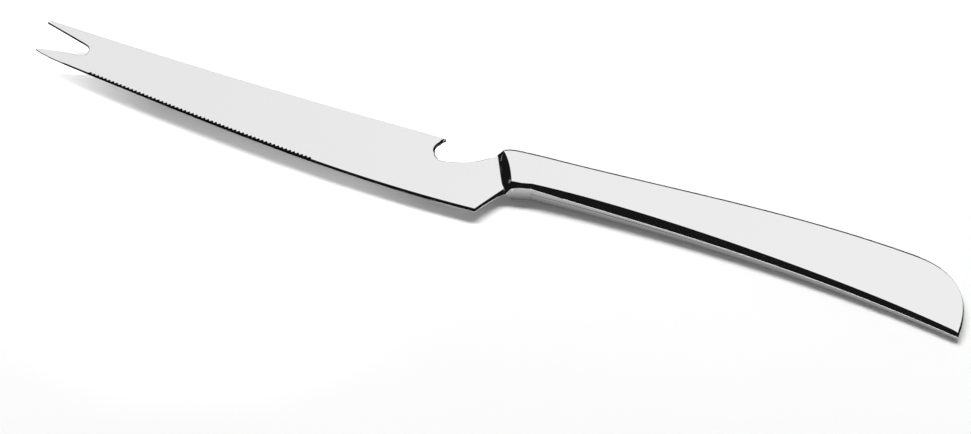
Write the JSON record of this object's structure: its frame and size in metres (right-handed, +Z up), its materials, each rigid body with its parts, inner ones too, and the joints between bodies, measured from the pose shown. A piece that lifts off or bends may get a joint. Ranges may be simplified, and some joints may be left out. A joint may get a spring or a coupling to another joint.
{
  "type": "citrus knife",
  "caption": "Polished steel bar knife for citrus: forked pick tip, fine-toothed edge, cap-lifter notch in the spine, stepped bolster and a flat hollow handle that widens to a slanted butt.",
  "frame": {"origin": "middle of the footprint, on the surface that the knife lies on", "axes": "+X along the knife from the fork to the butt, +Y across it from the cutting edge to the spine, +Z up from the flat it lies on"},
  "size_m": [0.24, 0.0244, 0.0063],
  "materials": {
    "blade_steel": "stainless steel, polished to a mirror, with straight ground edges",
    "handle_steel": "pressed stainless sheet, polished to a mirror",
    "solder": "silver solder, dressed flush with the shells",
    "cement": "matt, cast in place, out of sight"
  },
  "bodies": {
    "root": {"blade": "blade_steel", "upper_handle_shell": "handle_steel", "lower_handle_shell": "handle_steel", "rim_solder": "solder", "tang_cement": "cement"}
  },
  "joints": []
}
